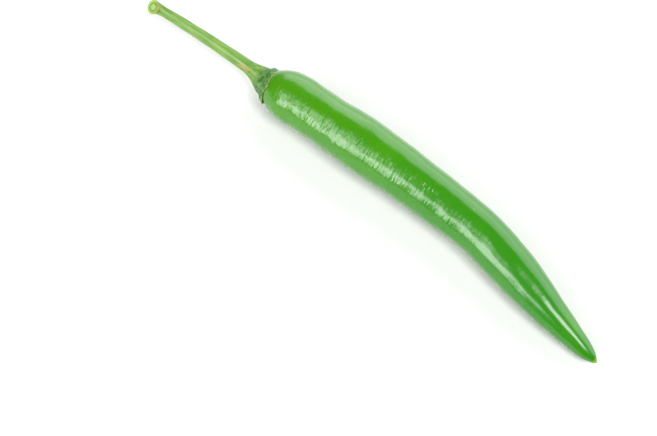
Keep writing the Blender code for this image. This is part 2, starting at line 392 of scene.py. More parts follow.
# Some nodes have several sockets of one name, so those are given by number: a Mix node's 0,
# 6 and 7 are how far it mixes and its two colours, and a Map Range node's 0 to 4 are its
# value, the two ends that the value comes from and the two ends that it goes to.
def add_node(tree, kind, inputs=None, **settings):
    """Adds a shader node, applies its settings, and links or sets its inputs."""
    node = tree.nodes.new("ShaderNode" + kind)
    for name, value in settings.items():
        setattr(node, name, value)
    for name, value in (inputs or {}).items():
        if isinstance(value, bpy.types.NodeSocket):
            tree.links.new(value, node.inputs[name])
        else:
            node.inputs[name].default_value = value
    return node


def new_surface(name):
    """An empty material: its node tree and its Principled BSDF."""
    material = bpy.data.materials.new(name)
    material.use_nodes = True
    return material, material.node_tree, material.node_tree.nodes["Principled BSDF"]


# %% Painting in layers, patches and masks
def painted(tree, colour, *layers):
    """A colour with others laid over it. Each layer is (how far it covers, its colour)."""
    colour = linear(colour) if isinstance(colour, str) else colour
    for cover, over in layers:
        over = linear(over) if isinstance(over, str) else over
        inputs = {0: cover, 6: colour, 7: over}
        colour = add_node(tree, "Mix", inputs, data_type="RGBA").outputs[2]
    return colour


def all_of(tree, mask, *others):
    """Masks multiplied together, so that only what all of them show is left."""
    for other in others:
        mask = add_node(tree, "Math", {0: mask, 1: other}, operation="MULTIPLY").outputs[0]
    return mask


def grown_place(tree, stretch=(1.0, 1.0, 1.0)):
    """The place before bending, in millimetres. Under 1, stretch draws a pattern out."""
    place = add_node(tree, "Attribute", attribute_name="grown").outputs["Vector"]
    return add_node(tree, "Mapping", {"Vector": place, "Scale": stretch}).outputs["Vector"]


def patchy(tree, place, size, edges, cover=(0.0, 1.0), detail=2.0):
    """A mask of patches about size millimetres across.

    Edges are the two values of the noise between which a patch fades in, and cover is how
    far the mask covers off the patches and on them.
    """
    inputs = {"Vector": place, "Scale": 1.0 / size, "Detail": detail}
    cloud = add_node(tree, "TexNoise", inputs).outputs[0]
    inputs = {0: cloud, 1: edges[0], 2: edges[1], 3: cover[0], 4: cover[1]}
    return add_node(tree, "MapRange", inputs).outputs[0]


# %% [markdown]
# ## The pod's skin
#
# A chilli's skin is a layer of green cells under a clear wax, the cuticle, which polishes
# itself as the fruit swells. A plain glossy shader would look like plastic. Here a softly
# glossy green base lies under a clear coat, as the wax does, and the green changes along
# the pod and in slow patches. A few corky flecks are scattered over the half near the tip.
#
# On the side that faces -Y the skin is drawn up into fine crinkles that run round the pod
# and fade towards the tip. They could be sculpted, but a mesh that holds all of them would
# be far too heavy, so a bump gives them to the base and the coat alike.

# %% The crinkles
CRINKLE_SPACING = 0.62  # millimetres from one to the next
CRINKLE_DEPTH = 0.2  # millimetres
CRINKLE_STRETCH = (1.0, 0.2, 0.2)  # five times as long round the pod as along it
CRINKLED_SIDE = (3.0, -2.0)  # places across the pod, in millimetres: from none to full
CRINKLES_FADE = (0.30, 0.80)  # over this stretch of the pod's length
CRINKLES_LEFT = 0.15  # their share at the tip
CRINKLE_PATCH = 4.0  # millimetres; they are deeper in some patches than in others


def crinkles(tree, place, share):
    """The bump of the crinkles, for a place on the pod and its share of the length."""
    stretched = grown_place(tree, CRINKLE_STRETCH)
    inputs = {"Vector": stretched, "Scale": 1.0 / CRINKLE_SPACING, "Detail": 1.5}
    folds = add_node(tree, "TexNoise", inputs).outputs[0]
    across = add_node(tree, "SeparateXYZ", {0: place}).outputs["Y"]
    inputs = {0: across, 1: CRINKLED_SIDE[0], 2: CRINKLED_SIDE[1]}
    facing = add_node(tree, "MapRange", inputs).outputs[0]
    inputs = {0: share, 1: CRINKLES_FADE[0], 2: CRINKLES_FADE[1], 3: 1.0, 4: CRINKLES_LEFT}
    fading = add_node(tree, "MapRange", inputs).outputs[0]
    uneven = patchy(tree, place, CRINKLE_PATCH, (0.35, 0.65), (0.35, 1.0))
    height = all_of(tree, facing, fading, uneven, folds)
    return add_node(tree, "Bump", {"Height": height, "Distance": CRINKLE_DEPTH * MM}).outputs[0]


# %% The flecks
FLECK_SPACING = 3.3  # millimetres between the places where a fleck may be
FLECK_SIZE = 0.27  # radius of a fleck in millimetres
CLEAN_PLACES = 0.64  # share of those places that carry no fleck
CLEAN_EDGE = 0.02
FLECKS_FROM = (0.35, 0.1)  # share of the pod's length, and how strong they are there
FLECKS_TO = (0.75, 0.8)


def flecks(tree, place, share):
    """A mask of small round flecks, strongest near the tip."""
    inputs = {"Vector": place, "Scale": 1 / FLECK_SPACING}
    cell = add_node(tree, "TexVoronoi", inputs).outputs
    dot = FLECK_SIZE / FLECK_SPACING
    inputs = {0: cell["Distance"], 1: dot, 2: dot * 0.5}
    inside = add_node(tree, "MapRange", inputs).outputs[0]
    chance = add_node(tree, "SeparateColor", {0: cell["Color"]}).outputs[0]
    inputs = {0: chance, 1: CLEAN_PLACES - CLEAN_EDGE, 2: CLEAN_PLACES + CLEAN_EDGE}
    kept = add_node(tree, "MapRange", inputs).outputs[0]
    inputs = {0: share, 1: FLECKS_FROM[0], 2: FLECKS_TO[0], 3: FLECKS_FROM[1], 4: FLECKS_TO[1]}
    near_tip = add_node(tree, "MapRange", inputs).outputs[0]
    return all_of(tree, inside, kept, near_tip)


# %% Waxy chilli skin
SLOW_PATCH = 15.0  # millimetres
GLOSS_PATCH = 3.0  # millimetres
CELL_CLUMP = 0.5  # millimetres; single cells are ten times finer, and would not show
NIB_PALES = (1.5, 0.5)  # millimetres from the tip, from none to full
NIB_COVER = 0.65


def waxy_chilli_skin(length):
    """Green cells under a clear cuticle: a saturated base colour, and a clear coat."""
    material, tree, surface = new_surface("waxy_chilli_skin")
    place = grown_place(tree)
    along = add_node(tree, "SeparateXYZ", {0: place}).outputs["X"]
    tip = length / MM
    share = add_node(tree, "MapRange", {0: along, 2: tip}).outputs[0]
    inputs = {0: along, 1: tip - NIB_PALES[0], 2: tip - NIB_PALES[1], 4: NIB_COVER}
    green = painted(
        tree,
        "#408303",
        (add_node(tree, "MapRange", {0: share, 1: 0.02, 2: 0.45}).outputs[0], "#307e02"),
        (add_node(tree, "MapRange", {0: share, 1: 0.45, 2: 0.95}).outputs[0], "#1f7804"),
        (patchy(tree, place, SLOW_PATCH, (0.42, 0.7), (0.0, 0.35)), "#468c04"),
        (patchy(tree, place, CELL_CLUMP, (0.35, 0.75), (0.0, 0.22), 3.0), "#267203"),
        (add_node(tree, "MapRange", inputs).outputs[0], "#a9b83c"),
        (flecks(tree, place, share), "#c8b45a"),
    )
    tree.links.new(green, surface.inputs["Base Color"])
    gloss = patchy(tree, place, GLOSS_PATCH, (0.3, 0.7), (0.26, 0.38))
    tree.links.new(gloss, surface.inputs["Roughness"])
    bump = crinkles(tree, place, share)
    tree.links.new(bump, surface.inputs["Normal"])
    tree.links.new(bump, surface.inputs["Coat Normal"])
    surface.inputs["IOR"].default_value = 1.5
    surface.inputs["Specular IOR Level"].default_value = 0.1  # the coat does the mirroring
    surface.inputs["Coat Weight"].default_value = 1.0
    surface.inputs["Coat Roughness"].default_value = 0.21
    surface.inputs["Coat IOR"].default_value = 1.5
    return material


# %% [markdown]
# ## The pod
#
# The pod is turned from the measured radii, with a small blunt nib at the tip where the
# flower's style sat, and a slight swelling below the shoulder. A modifier such as Displace
# could roughen it, but a rule written for each point can say where the skin is rough. It
# is sculpted in three sizes: slow swells that make the edge of a reflection wander, shallow
# dents, and fine ripples round the pod on the side that faces -Y. The mesh is fine enough
# along the pod to hold the ripples as real shape.

# %% The pod's profile
POD_RINGS = 860
POD_SIDES = 108
TIP_CROWDING = 1.15  # over 1, the rings crowd together towards the tip
NIB_GROOVE = 0.09 * MM
NIB_AT = 1.5 * MM  # from the tip
NIB_WIDTH = 0.35 * MM


def pod_profile(share):
    """Place and radius of the pod for 0 at the crown to 1 at the tip."""
    if share == 1.0:
        return pod_length, 0.0
    from_tip = pod_length * (1.0 - share) ** TIP_CROWDING
    radius = radius_at(pod_line, pod_length - from_tip)
    groove = math.exp(-(((from_tip - NIB_AT) / NIB_WIDTH) ** 2))
    return pod_length - from_tip, max(radius - NIB_GROOVE * groove, 0.0)


# %% Sculpting the skin
SHOULDER_AT = 11 * MM  # from the crown
SHOULDER_LENGTH = 5.5 * MM
SHOULDER = 0.38 * MM
SWELL_LENGTH = 15 * MM
SWELL_SHIFT = 7.3  # moves the swells along the noise, to a stretch that suits the pod
SWELL = 0.42 * MM
DENT_LENGTH = 5 * MM
DENT_SHIFT = 3.1
DENT = 0.13 * MM
RIPPLE_LENGTH = 0.5 * MM
RIPPLE_BREADTH = 3.2 * MM  # how far round the pod one ripple runs
RIPPLE = 0.10 * MM
RIPPLE_PATCH = 9 * MM  # the ripples are higher in some patches than in others
PATCH_MEAN = 0.65
PATCH_RANGE = 0.7
RIPPLED_SIDE = (-3 * MM, 2 * MM)  # places towards -Y, from none to full
RIPPLES_FADE = (0.25, 0.7)  # over this stretch of the pod's length
RIPPLES_LOST = 0.85  # the share of their height that is gone after it
HELD_SMOOTH = (2 * MM, 14 * MM)  # the calyx holds the skin smooth near the crown
SLENDER = 0.5  # share of the greatest radius under which the relief fades


def skin_relief(place, girth):
    """How far the skin stands out at a place before bending."""
    x, y, z = place
    spot = Vector((x / SWELL_LENGTH, y / SWELL_LENGTH, z / SWELL_LENGTH + SWELL_SHIFT))
    swell = noise.noise(spot)
    spot = Vector((x / DENT_LENGTH, y / DENT_LENGTH + DENT_SHIFT, z / DENT_LENGTH))
    dent = noise.noise(spot)
    spot = Vector((x / RIPPLE_LENGTH, y / RIPPLE_BREADTH, z / RIPPLE_BREADTH))
    ripple = noise.noise(spot)
    ripple *= PATCH_MEAN + PATCH_RANGE * noise.noise(place / RIPPLE_PATCH)
    ripple *= 1.0 - RIPPLES_LOST * smooth_step(*RIPPLES_FADE, x / pod_length)
    ripple *= smooth_step(*RIPPLED_SIDE, -y)
    free = smooth_step(0.0, SLENDER, girth) * smooth_step(*HELD_SMOOTH, x)
    shoulder = SHOULDER * math.exp(-(((x - SHOULDER_AT) / SHOULDER_LENGTH) ** 2))
    return shoulder + (SWELL * swell + DENT * dent + RIPPLE * ripple) * free


# %% The pod itself
def make_pod():
    """The pod, sculpted straight, bent onto its line and set on the surface."""
    mesh = turned(pod_profile, POD_RINGS - 1, POD_SIDES)
    widest = max(pod_line["radius"])
    remember_growth(mesh)
    for v in mesh.verts:
        radius = math.hypot(v.co.y, v.co.z)
        if radius > 0.0:
            out = Vector((0.0, v.co.y, v.co.z)) / radius
            v.co += out * skin_relief(v.co, radius / widest)
    bend_onto(mesh, pod_line)
    for v in mesh.verts:
        v.co.z = max(v.co.z, 0.0)
    return finished(mesh, "chilli_pod", waxy_chilli_skin(pod_length), crease_angle=180)


pod = make_pod()
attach(pod, "root")
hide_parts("pod")

# %% [markdown]
# ## The ribs that calyx and stalk share
#
# Five ribs run up the stalk and out over the calyx, one to each of its teeth. They are
# the veins that fed the flower's five sepals. They could be five thin solids laid on the
# stalk, but a rule that lifts the skin gives them soft flanks. Both pieces read them from
# the one rule, so they meet without a step at the seam.

# %% Five ribs, unevenly spaced
# Angle of each rib round the stalk in degrees, and how strong it is. The stalk's line runs
# towards -X, so an angle of 0 is at -Y, 90 is at the top and 180 is at +Y.
RIBS = ((176, 1.0), (58, 1.0), (-6, 0.9), (-63, 0.7), (-132, 0.8))
RIB_WIDTH = 17.0  # degrees
RIB_HEIGHT = 0.14 * MM
RIB_SINK = 0.35  # share of that height by which the skin between the ribs lies lower
RIB_DRIFT = 14.0  # how far the ribs turn from the calyx to the cut end, in degrees
FIBRE_LENGTH = 6 * MM
FIBRES_ROUND = 2.4  # how closely the fibres lie round the stalk
FIBRE_HEIGHT = 0.10 * MM
RUN_OUT = (4 * MM, 1.5 * MM)  # before the cut, where ribs and fibres run out
RIBS_LEFT = 0.35  # share of the ribs' height that is left at the cut
FIBRES_LEFT = 0.3


def turned_off(angle, place):
    """How far an angle lies from a place round the stalk, both in degrees."""
    return (angle - place + 180.0) % 360.0 - 180.0


def rib_share(angle, at):
    """1 on the crest of a rib and 0 between the ribs."""
    angle = math.degrees(angle) - RIB_DRIFT * at / stalk_length
    share = 0.0
    for place, strength in RIBS:
        off = turned_off(angle, place)
        share = max(share, strength * math.exp(-((off / RIB_WIDTH) ** 2)))
    return share


def stalk_relief(at, angle):
    """How far the ribs and the fibres stand out on calyx and stalk alike."""
    before_cut = 1.0 - smooth_step(stalk_length - RUN_OUT[0], stalk_length - RUN_OUT[1], at)
    rib = (rib_share(angle, at) - RIB_SINK) * RIB_HEIGHT
    fibres_x = FIBRES_ROUND * math.cos(angle)
    fibres_y = FIBRES_ROUND * math.sin(angle)
    fibre = noise.noise(Vector((at / FIBRE_LENGTH, fibres_x, fibres_y))) * FIBRE_HEIGHT
    rib *= RIBS_LEFT + (1.0 - RIBS_LEFT) * before_cut
    fibre *= FIBRES_LEFT + (1.0 - FIBRES_LEFT) * before_cut
    return rib + fibre


print("ribs at", [place for place, _ in RIBS], "degrees round the stalk")


# %% [markdown]
# ## Stalk and calyx tissue
#
# The stalk is a matt, fibrous green with pale streaks along it and a few tan scars where it
# rubbed against a branch, and its ribs are painted paler, a painted highlight. The calyx is
# the same tissue, darker and drawn up into fine wrinkles whose crests carry a painted
# highlight, with a thin corky edge that dried first. Each could have a paint of its own,
# but here one function paints the tissue of both, so the colour runs on over the seam.

# %% Fibrous stalk tissue
STREAK_WIDTH = 0.55  # millimetres, as are all these sizes
STREAK_STRETCH = (0.09, 1.0, 1.0)  # eleven times as long as wide
SPECK_SIZE = 0.35
SCAR_WIDTH = 1.3
TISSUE_IOR = 1.42  # that of cell walls filled with sap


def fibrous_green(tree):
    """The stalk's colour: streaked and mottled green, painted highlight on ribs, tan scars."""
    fibres = grown_place(tree, STREAK_STRETCH)
    place = grown_place(tree)
    crest_highlight = add_node(tree, "Attribute", attribute_name="crest_highlight").outputs["Fac"]
    # The rib crests are painted a paler green here, a painted highlight.
    inputs = {0: crest_highlight, 1: 0.45, 2: 1.0, 4: 0.6}
    return painted(
        tree,
        "#4a7d1c",
        (patchy(tree, fibres, STREAK_WIDTH, (0.38, 0.66), detail=3.0), "#7a9c4c"),
        (patchy(tree, place, SPECK_SIZE, (0.4, 0.68), (0.0, 0.5), 3.0), "#5f9218"),
        (add_node(tree, "MapRange", inputs).outputs[0], "#91a76c"),
        (patchy(tree, fibres, SCAR_WIDTH, (0.63, 0.69), (0.0, 0.8), 1.0), "#a8905c"),
    )


def finish_tissue(tree, surface, colour, grain_place, grain_size, depth):
    """Matt, slightly waxy tissue, with a grain of its own size and depth."""
    inputs = {"Vector": grain_place, "Scale": 1.0 / grain_size, "Detail": 3.0}
    grain = add_node(tree, "TexNoise", inputs).outputs[0]
    inputs = {0: grain, 1: 0.3, 2: 0.7, 3: 0.55, 4: 0.40}
    gloss = add_node(tree, "MapRange", inputs).outputs[0]
    inputs = {"Height": grain, "Strength": 0.8, "Distance": depth}
    bump = add_node(tree, "Bump", inputs).outputs[0]
    tree.links.new(colour, surface.inputs["Base Color"])
    tree.links.new(gloss, surface.inputs["Roughness"])
    tree.links.new(bump, surface.inputs["Normal"])
    surface.inputs["IOR"].default_value = TISSUE_IOR


# %% The stalk's cut end
# The rings of the cut, as shares of its radius: where each blend starts and ends.
PITH_ENDS = (0.42, 0.52)
VESSELS_END = (0.66, 0.78)
BARK_STARTS = (0.78, 0.9)
# Depths below the cut in millimetres: where the face's colours and the tan lip blend in.
FACE_BLENDS = (0.45, 0.25)
LIP_STARTS = (0.75, 0.6)
LIP_ENDS = (0.5, 0.4)
LIP_COVER = 0.6
VESSEL_SIZE = 0.28  # millimetres
STALK_GRAIN = 0.3  # millimetres
STALK_GRAIN_STRETCH = (0.12, 1.0, 1.0)
STALK_GRAIN_DEPTH = 0.05 * MM


def cut_face(tree, place, across):
    """The cut's colours: pale pith, a speckled ring of vessels, a green rim."""
    full = cut_radius / MM
    inputs = {0: across, 1: full * PITH_ENDS[0], 2: full * PITH_ENDS[1]}
    past_pith = add_node(tree, "MapRange", inputs).outputs[0]
    inputs = {0: across, 1: full * VESSELS_END[1], 2: full * VESSELS_END[0]}
    inside_bark = add_node(tree, "MapRange", inputs).outputs[0]
    inputs = {0: across, 1: full * BARK_STARTS[0], 2: full * BARK_STARTS[1]}
    on_bark = add_node(tree, "MapRange", inputs).outputs[0]
    grain = patchy(tree, place, VESSEL_SIZE, (0.4, 0.6))
    pith = painted(tree, "#8dac5c", (grain, "#9dba6e"))
    ring = painted(tree, "#3f6418", (grain, "#7ea040"))
    vessels = all_of(tree, past_pith, inside_bark)
    return painted(tree, pith, (vessels, ring), (on_bark, "#86a93c"))


def stalk_tissue():
    """Fibrous stalk with its cut end, and a tan lip where the cut's edge dried."""
    material, tree, surface = new_surface("fibrous_stalk_tissue")
    place = grown_place(tree)
    parts = add_node(tree, "SeparateXYZ", {0: place}).outputs
    flat = add_node(tree, "CombineXYZ", {"Y": parts["Y"], "Z": parts["Z"]}).outputs[0]
    across = add_node(tree, "VectorMath", {0: flat}, operation="LENGTH").outputs["Value"]
    end = stalk_length / MM
    inputs = {0: parts["X"], 1: end - FACE_BLENDS[0], 2: end - FACE_BLENDS[1]}
    at_cut = add_node(tree, "MapRange", inputs).outputs[0]
    inputs = {0: parts["X"], 1: end - LIP_STARTS[0], 2: end - LIP_STARTS[1]}
    past_start = add_node(tree, "MapRange", inputs).outputs[0]
    inputs = {0: parts["X"], 1: end - LIP_ENDS[1], 2: end - LIP_ENDS[0]}
    before_end = add_node(tree, "MapRange", inputs).outputs[0]
    colour = painted(
        tree,
        fibrous_green(tree),
        (at_cut, cut_face(tree, place, across)),
        (all_of(tree, past_start, before_end, LIP_COVER), "#b98a4c"),
    )
    fibres = grown_place(tree, STALK_GRAIN_STRETCH)
    finish_tissue(tree, surface, colour, fibres, STALK_GRAIN, STALK_GRAIN_DEPTH)
    return material


# %% Wrinkled calyx tissue
# Heights above the calyx's edge in millimetres: where each blend starts and ends.
CUP_BLENDS = (5.2, 3.0)  # from the stalk's green to the cup's
CORK_BLENDS = (0.24, 0.10)  # from the cup's green to the corky edge
DRY_PATCH = 1.3  # millimetres, as are the next two
CUP_MOTTLE = 0.4
CUP_GRAIN = 0.45
CUP_GRAIN_DEPTH = 0.07 * MM


def calyx_tissue():
    """Wrinkled calyx: stalk green on top, dark green with painted highlights on crests, corky
    edge.
    """
    material, tree, surface = new_surface("wrinkled_calyx_tissue")
    place = grown_place(tree)
    crest_highlight = add_node(tree, "Attribute", attribute_name="wrinkle").outputs["Fac"]
    height = add_node(tree, "Attribute", attribute_name="from_edge").outputs["Fac"]
    # The wrinkles' crests are painted pale green, a painted highlight.
    painted_crest_highlight = add_node(tree, "MapRange", {0: crest_highlight, 1: 0.35, 2: 0.9}).outputs[0]
    inputs = {0: height, 1: CUP_BLENDS[0], 2: CUP_BLENDS[1]}
    on_cup = add_node(tree, "MapRange", inputs).outputs[0]
    inputs = {0: height, 1: CORK_BLENDS[0], 2: CORK_BLENDS[1]}
    at_edge = add_node(tree, "MapRange", inputs).outputs[0]
    dry = all_of(tree, at_edge, patchy(tree, place, DRY_PATCH, (0.36, 0.52), (0.15, 1.0)))
    fine = patchy(tree, place, CUP_MOTTLE, (0.35, 0.65), detail=3.0)
    cup = painted(tree, "#235216", (fine, "#447d2a"), (painted_crest_highlight, "#88ae74"))
    cork = painted(tree, "#86783a", (fine, "#b9b070"))
    colour = painted(tree, fibrous_green(tree), (on_cup, cup), (dry, cork))
    finish_tissue(tree, surface, colour, place, CUP_GRAIN, CUP_GRAIN_DEPTH)
    return material


# %% [markdown]
# ## The calyx
#
# The calyx is a small wrinkled cap that hugs the pod's shoulder. It could be the pod's own
# skin pushed outwards, but it is turned as a closed cup of its own, whose hollow follows
# the pod with a hair's gap, so that its edge stands off the pod as a real one does. The rim
# is then drawn out into five teeth, and it sits a little askew, lower on the side that
# faces -Y, because the pod grew bent. For the same reason the calyx is drawn in above the
# rim on its other side. Two of the teeth dried first and curl away from the pod. The
# wrinkles come from a ridged noise, which gives creases with crests between.

# %% The cup
CALYX_CUTS = 190
CALYX_SIDES = 168
SEAM_SHARE = 0.06  # of the profile: the flat top that the stalk stands on
RIM_SHARE = 0.62  # where the profile reaches the rim
LIP_SHARE = 0.68  # where it has turned round the lip into the hollow
CLOSING = 0.05  # share of the hollow over which it closes to a point
HUG = 0.04 * MM  # gap between the calyx and the pod
LIP = 0.20 * MM  # thickness of the rim
SNUG = 1.6 * MM  # the height over which the outside runs down onto the pod
pod_at_rim = rim_middle.x - crown_end.x  # the rim's place on the pod's line


def pod_radius(at):
    """The pod's radius at a height above the calyx's rim."""
    return radius_at(pod_line, pod_at_rim - at)


def cup_profile(share):
    """Place and radius of the calyx, from its top over the rim into the hollow."""
    if share < SEAM_SHARE:
        return seam_at, radius_at(stalk_line, seam_at) * share / SEAM_SHARE
    if share < RIM_SHARE:
        t = (share - SEAM_SHARE) / (RIM_SHARE - SEAM_SHARE)
        at = seam_at * (1.0 - t)
        outer = radius_at(stalk_line, at)
        hugging = pod_radius(at) + HUG + LIP
        snug = 1.0 - smooth_step(0.0, SNUG, at)
        return at, outer + (hugging - outer) * snug
    if share < LIP_SHARE:
        t = (share - RIM_SHARE) / (LIP_SHARE - RIM_SHARE)
        turn = math.pi * t
        middle = pod_radius(0.0) + HUG + LIP / 2
        return -math.sin(turn) * LIP / 2, middle + math.cos(turn) * LIP / 2
    t = (share - LIP_SHARE) / (1.0 - LIP_SHARE)
    at = (pod_at_rim + HUG) * t
    return at, (pod_radius(at) + HUG) * min((1.0 - t) / CLOSING, 1.0)


# %% The teeth and the rim
RIM_DROP = 0.35 * MM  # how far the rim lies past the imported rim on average
RIM_SKEW = 1.1 * MM  # how much further it reaches on the side that faces -Y
RIM_RAG = 0.15 * MM
RIM_ZONE = 5.0 * MM  # the height over which the calyx is drawn out to the rim
PRESSED_ZONE = 2.5 * MM  # the height over which it then follows the pod again
TOOTH_LENGTH = 1.0 * MM
TOOTH_WIDTH = 10.0  # degrees
TOOTH_LIFT = 0.35 * MM  # how far a dried tooth curls away from the pod
CURL_ZONE = 0.8 * MM
CURL_WIDTH = 6.0  # degrees
CURLED = (176, -6)  # the teeth that dried first


def rim_reach(angle):
    """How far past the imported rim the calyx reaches, all round."""
    turn = math.degrees(angle)
    tooth = max(
        strength * math.exp(-abs(turned_off(turn, place)) / TOOTH_WIDTH)
        for place, strength in RIBS
    )
    ragged = noise.noise(Vector((3.0 * math.cos(angle), 3.0 * math.sin(angle), 4.2)))
    return RIM_DROP + RIM_SKEW * math.cos(angle) + TOOTH_LENGTH * tooth + RIM_RAG * ragged


def curl(angle, at):
    """How far a dried tooth stands off the pod."""
    off = min(abs(turned_off(math.degrees(angle), place)) for place in CURLED)
    lifted = math.exp(-((off / CURL_WIDTH) ** 2))
    return TOOTH_LIFT * lifted * (1.0 - smooth_step(0.0, CURL_ZONE, at))


# %% The neck and the wrinkles
NECK_AT = 2.8 * MM  # above the rim, where the calyx is drawn in on the side facing +Y
NECK_WIDTH = 1.9 * MM
NECK = 0.75 * MM
NECK_STARTS = (0.3 * MM, 1.2 * MM)
WRINKLE_SIZE = 1.9 * MM
WRINKLE = 0.30 * MM
WRINKLE_MIDDLE = 0.34  # the noise's own mean, which stays at the height of the cup
WRINKLE_FRACTAL = (0.9, 2.1, 3, 0.9, 1.6)  # roughness, lacunarity, octaves, offset, gain
WRINKLE_RANGE = 2.2  # what that noise reaches, which is brought down to 1
WRINKLE_STRETCH = 0.7  # under 1, the wrinkles are longer up the calyx than round it
WRINKLES_END = (3.0 * MM, 6.5 * MM)  # above the rim, where the cup passes into the stalk
RIM_CALM = (-0.2 * MM, 0.5 * MM)  # the rim itself stays even


def neck(angle, at):
    """How the calyx narrows above its rim: drawn in on its +Y side, fuller on the other."""
    narrowed = math.exp(-(((at - NECK_AT) / NECK_WIDTH) ** 2))
    narrowed *= smooth_step(*NECK_STARTS, at)
    # This is -1 at +Y, where the angle is half a turn, and 0.5 at -Y.
    return NECK * narrowed * (0.75 * math.cos(angle) - 0.25)


def folds(place):
    """Crests and creases of the crumpled cup, from 0 to about 1."""
    spot = Vector((place.x * WRINKLE_STRETCH, place.y, place.z)) / WRINKLE_SIZE
    return noise.ridged_multi_fractal(spot, *WRINKLE_FRACTAL) / WRINKLE_RANGE


# %% The calyx itself
def make_calyx():
    """The calyx: its rim is drawn out, and its outside is ribbed and wrinkled."""
    mesh = turned(cup_profile, CALYX_CUTS, CALYX_SIDES)
    wrinkle = mesh.verts.layers.float.new("wrinkle")
    crest_highlight = mesh.verts.layers.float.new("crest_highlight")
    from_edge = mesh.verts.layers.float.new("from_edge")
    for v in mesh.verts:
        at = v.co.x
        angle = around(v)
        radius = math.hypot(v.co.y, v.co.z)
        if radius == 0.0:
            continue
        out = Vector((0.0, v.co.y, v.co.z)) / radius
        on_top = at >= seam_at - 0.001 * MM
        outside = radius > pod_radius(at) + HUG + LIP * 0.25 and not on_top
        shift = rim_reach(angle) * (1.0 - smooth_step(0.0, RIM_ZONE, at))
        follow = pod_radius(at - shift) - pod_radius(at)
        v.co.x -= shift
        v.co += out * follow * (1.0 - smooth_step(0.0, PRESSED_ZONE, at))
        v.co += out * curl(angle, at)
        v[from_edge] = max(at, 0.0) / MM
        # The rib share is kept for the paint, which turns it into a painted highlight on the
        # ribs.
        v[crest_highlight] = rib_share(angle, at)
        if outside or on_top:
            inwards = min(radius / radius_at(stalk_line, at), 1.0)
            v.co += out * stalk_relief(at, angle) * inwards
        if outside:
            v.co += out * neck(angle, at)
            # The fold height is kept for the paint too, which lays a painted highlight on the
            # crests.
            v[wrinkle] = folds(v.co)
            height = (v[wrinkle] - WRINKLE_MIDDLE) * WRINKLE
            height *= 1.0 - smooth_step(*WRINKLES_END, at)
            v.co += out * height * smooth_step(*RIM_CALM, at)
    remember_growth(mesh)
    bend_onto(mesh, stalk_line)
    return finished(mesh, "chilli_calyx", calyx_tissue(), crease_angle=60)


calyx = make_calyx()
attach(calyx, "root")
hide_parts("calyx")

# %% [markdown]
# ## The stalk
#
# The stalk stands on the calyx and ends in a short hook with a cut face, where it broke
# off the branch. The face has a soft pith in the middle, a ring of vessels that shrank
# back a little, and a rounded rim. Behind the rim a crease shows where the joint was, and
# the end flares a little and is cut a little off square. It could be a curve with a
# bevel, but a turned profile carries the crease, the rim and the face in one skin.

# %% The stalk's profile
STALK_CUTS = 330
STALK_SIDES = 112
SEAT_SHARE = 0.03  # of the profile: the flat seat on the calyx
SIDE_SHARE = 0.86  # where the side of the stalk ends
EDGE_SHARE = 0.91  # where the rounded rim ends and the face begins
EDGE_ROUND = 0.32 * MM
CREASE_DEPTH = 0.12 * MM
CREASE_AT = 0.85 * MM  # from the cut
CREASE_WIDTH = 0.3 * MM
PITH_DOME = 0.10 * MM
PITH_SIZE = 0.4  # share of the face's radius
VESSEL_DIP = 0.16 * MM
VESSELS_AT = 0.72  # share of the face's radius
VESSELS_WIDTH = 0.14


def stalk_profile(share):
    """Place and radius of the stalk, from its seat on the calyx to the middle of the cut."""
    if share < SEAT_SHARE:
        return seam_at, radius_at(stalk_line, seam_at) * share / SEAT_SHARE
    side_end = stalk_length - EDGE_ROUND
    if share < SIDE_SHARE:
        t = (share - SEAT_SHARE) / (SIDE_SHARE - SEAT_SHARE)
        at = seam_at + (side_end - seam_at) * t
        crease = math.exp(-(((stalk_length - CREASE_AT - at) / CREASE_WIDTH) ** 2))
        return at, radius_at(stalk_line, at) - CREASE_DEPTH * crease
    if share < EDGE_SHARE:
        turn = math.pi / 2 * (share - SIDE_SHARE) / (EDGE_SHARE - SIDE_SHARE)
        inner = cut_radius - EDGE_ROUND
        return side_end + math.sin(turn) * EDGE_ROUND, inner + math.cos(turn) * EDGE_ROUND
    t = (1.0 - share) / (1.0 - EDGE_SHARE)
    dip = math.exp(-(((t - VESSELS_AT) / VESSELS_WIDTH) ** 2)) * VESSEL_DIP
    dome = math.exp(-((t / PITH_SIZE) ** 2)) * PITH_DOME
    return stalk_length - dip + dome, (cut_radius - EDGE_ROUND) * t


# %% The stalk itself
CUT_FLARE = 0.16 * MM
FLARE_ZONE = (1.5 * MM, 0.4 * MM)  # before the cut, from none to full
CUT_LEAN = 10.0  # degrees by which the cut leans off square
CUT_LEAN_TOWARDS = 79.0  # the angle round the stalk that it leans towards
LEAN_ZONE = (2.4 * MM, 0.3 * MM)  # before the cut, from none to full


